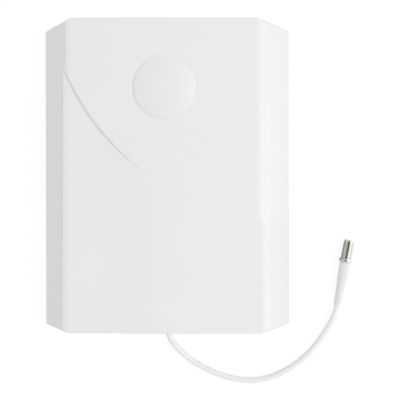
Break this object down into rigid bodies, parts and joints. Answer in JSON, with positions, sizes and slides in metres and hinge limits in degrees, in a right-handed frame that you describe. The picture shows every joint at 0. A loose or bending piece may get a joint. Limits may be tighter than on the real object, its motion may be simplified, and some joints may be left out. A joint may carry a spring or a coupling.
{
  "type": "panel antenna",
  "caption": "Flat white television panel antenna with a tapered moulded radome, a domed front badge, a metal back plate and a short coax lead ending in a screw jack.",
  "frame": {"origin": "centre of the back, on the plane that the radome's rim rests on", "axes": "+X across the panel, +Y up the panel, +Z out of its front face"},
  "size_m": [0.2689, 0.308, 0.053],
  "materials": {
    "white_abs": "fine satin moulding",
    "badge_plastic": "smooth semi-gloss moulding",
    "seal_rubber": "matte",
    "plate_aluminium": "mill-finish rolled sheet",
    "zinc_steel": "bright zinc plate",
    "brass": "turned",
    "nylon": "natural nylon",
    "circuit_board": "solder mask on glass laminate",
    "ferrite": "sintered ferrite",
    "copper_wire": "enamelled copper",
    "cable_pvc": "satin extruded PVC",
    "boot_sleeve": "shrunk polyolefin sleeve",
    "grommet_rubber": "white rubber",
    "jack_nickel": "bright nickel plate on brass",
    "jack_dielectric": "moulded polyethylene"
  },
  "bodies": {
    "root": {"radome_shell": "white_abs", "badge_disc": "badge_plastic", "rim_gasket": "seal_rubber", "rear_reflector_plate": "plate_aluminium", "bracket_clinch_nuts": "zinc_steel", "threaded_inserts": "brass", "rear_cover_screws": "zinc_steel", "element_standoffs": "nylon", "board_standoffs": "nylon", "standoff_screws": "zinc_steel", "loop_element": "plate_aluminium", "element_screws": "nylon", "balun_board": "circuit_board", "board_screws": "nylon", "feed_posts": "brass", "feed_screws": "brass", "balun_core": "ferrite", "balun_winding": "copper_wire", "signal_tag": "brass", "braid_clip": "zinc_steel", "inner_coax_jacket": "cable_pvc", "inner_coax_braid": "zinc_steel", "inner_coax_dielectric": "jack_dielectric", "inner_coax_conductor": "copper_wire", "cable_clamp_base": "nylon", "cable_clamp_cap": "nylon", "clamp_screws": "zinc_steel", "cable_grommet": "grommet_rubber", "coax_cord": "cable_pvc", "connector_boot": "boot_sleeve", "coax_boot_stretch": "cable_pvc", "crimp_ferrule": "jack_nickel", "jack_body": "jack_nickel", "jack_insulator": "jack_dielectric", "jack_contact": "brass"}
  },
  "joints": []
}
